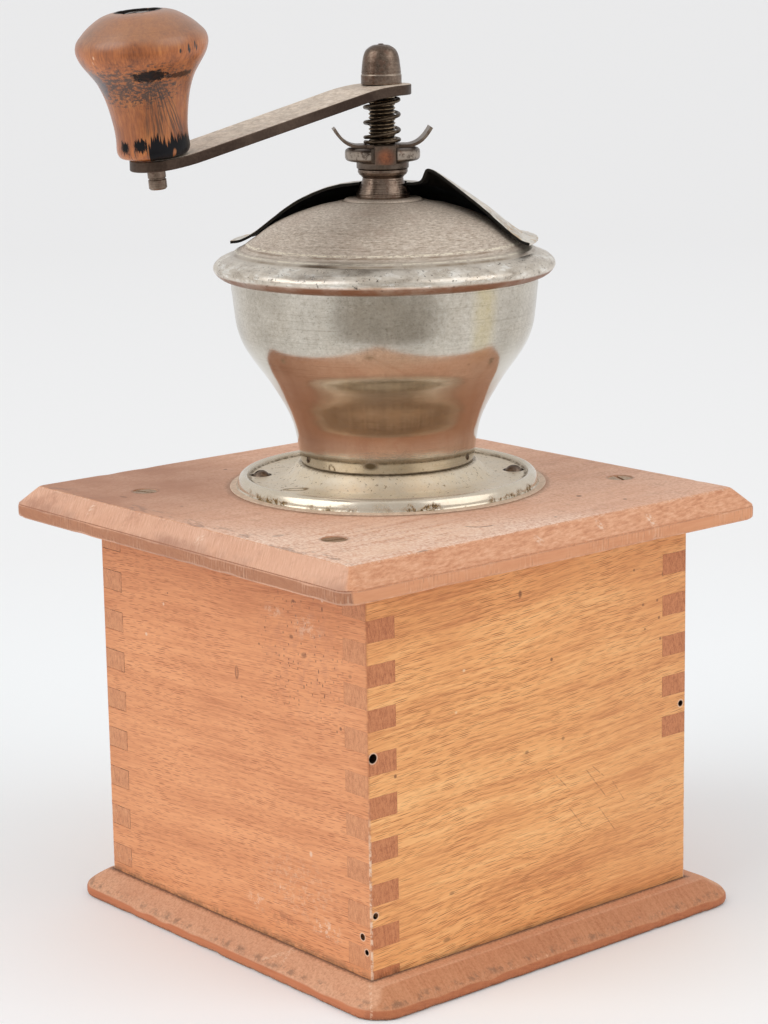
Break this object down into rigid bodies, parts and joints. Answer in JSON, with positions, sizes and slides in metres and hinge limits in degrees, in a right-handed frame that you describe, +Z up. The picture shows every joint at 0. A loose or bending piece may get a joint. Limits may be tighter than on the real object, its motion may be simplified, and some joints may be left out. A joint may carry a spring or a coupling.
{
  "type": "hand crank coffee grinder",
  "caption": "Manual coffee grinder: finger jointed wooden box with a drawer, round metal hopper with a turning fill door, and a crank on top that drives a conical burr.",
  "frame": {"origin": "centre of the wooden box on the underside of the base board", "axes": "+Z up along the spindle, -Y towards the drawer, +X to the right seen from the drawer side"},
  "size_m": [0.1594, 0.1817, 0.2715],
  "materials": {
    "box_wood": "worn lacquer",
    "top_wood": "worn, dusty",
    "base_wood": "worn, dusty",
    "drawer_wood": "bare",
    "knob_wood": "worn lacquer",
    "nickel": "satin nickel",
    "cover_steel": "dull, pitted nickel",
    "dark_steel": "browned",
    "spring_steel": "browned",
    "burr_iron": "as cast",
    "screw_steel": "rusty"
  },
  "bodies": {
    "case": {"base_board": "base_wood", "left_side_panel": "box_wood", "right_side_panel": "box_wood", "rear_panel": "box_wood", "front_panel": "box_wood", "top_board": "top_wood", "top_board_screws": "screw_steel", "base_screws": "screw_steel", "hopper_flange": "nickel", "flange_screws": "screw_steel", "hopper_bowl": "nickel", "dome_cover": "cover_steel", "bearing_collar": "dark_steel", "outer_burr": "burr_iron", "outer_burr_screws": "screw_steel", "lower_bridge": "burr_iron", "lower_bridge_screws": "screw_steel"},
    "crank": {"spindle": "dark_steel", "inner_burr": "burr_iron", "burr_pin": "screw_steel", "adjusting_nut": "dark_steel", "latch_spring": "spring_steel", "crank_arm": "dark_steel", "cap_nut": "dark_steel", "knob_pin": "dark_steel"},
    "latch": {"latch_plate": "dark_steel"},
    "knob": {"crank_knob": "knob_wood"},
    "door": {"fill_door": "cover_steel"},
    "drawer": {"drawer_front": "box_wood", "drawer_left_side": "drawer_wood", "drawer_right_side": "drawer_wood", "drawer_back": "drawer_wood", "drawer_bottom": "drawer_wood", "drawer_knob": "knob_wood", "drawer_knob_screw": "screw_steel"}
  },
  "joints": [
    {"name": "crank_turn", "type": "hinge", "parent": "case", "child": "crank", "pos_m": [0.00387, -0.00242, 0.2], "axis": [0, 0, 1], "continuous": true},
    {"name": "knob_spin", "type": "hinge", "parent": "crank", "child": "knob", "pos_m": [-0.00035, 0.08177, 0.23152], "axis": [-0.0051, 0.1027, 0.9947], "continuous": true},
    {"name": "door_turn", "type": "hinge", "parent": "case", "child": "door", "pos_m": [0.00387, -0.00242, 0.215], "axis": [0, 0, 1], "range_deg": [0, 180]},
    {"name": "drawer_slide", "type": "slide", "parent": "case", "child": "drawer", "axis": [0, -1, 0], "range_m": [0, 0.09]},
    {"name": "latch_lift", "type": "slide", "parent": "crank", "child": "latch", "axis": [0, 0, 1], "range_m": [0, 0.005], "stiffness_N_per_m": 300, "springref_m": -0.006, "deforming": ["latch_spring"]}
  ]
}
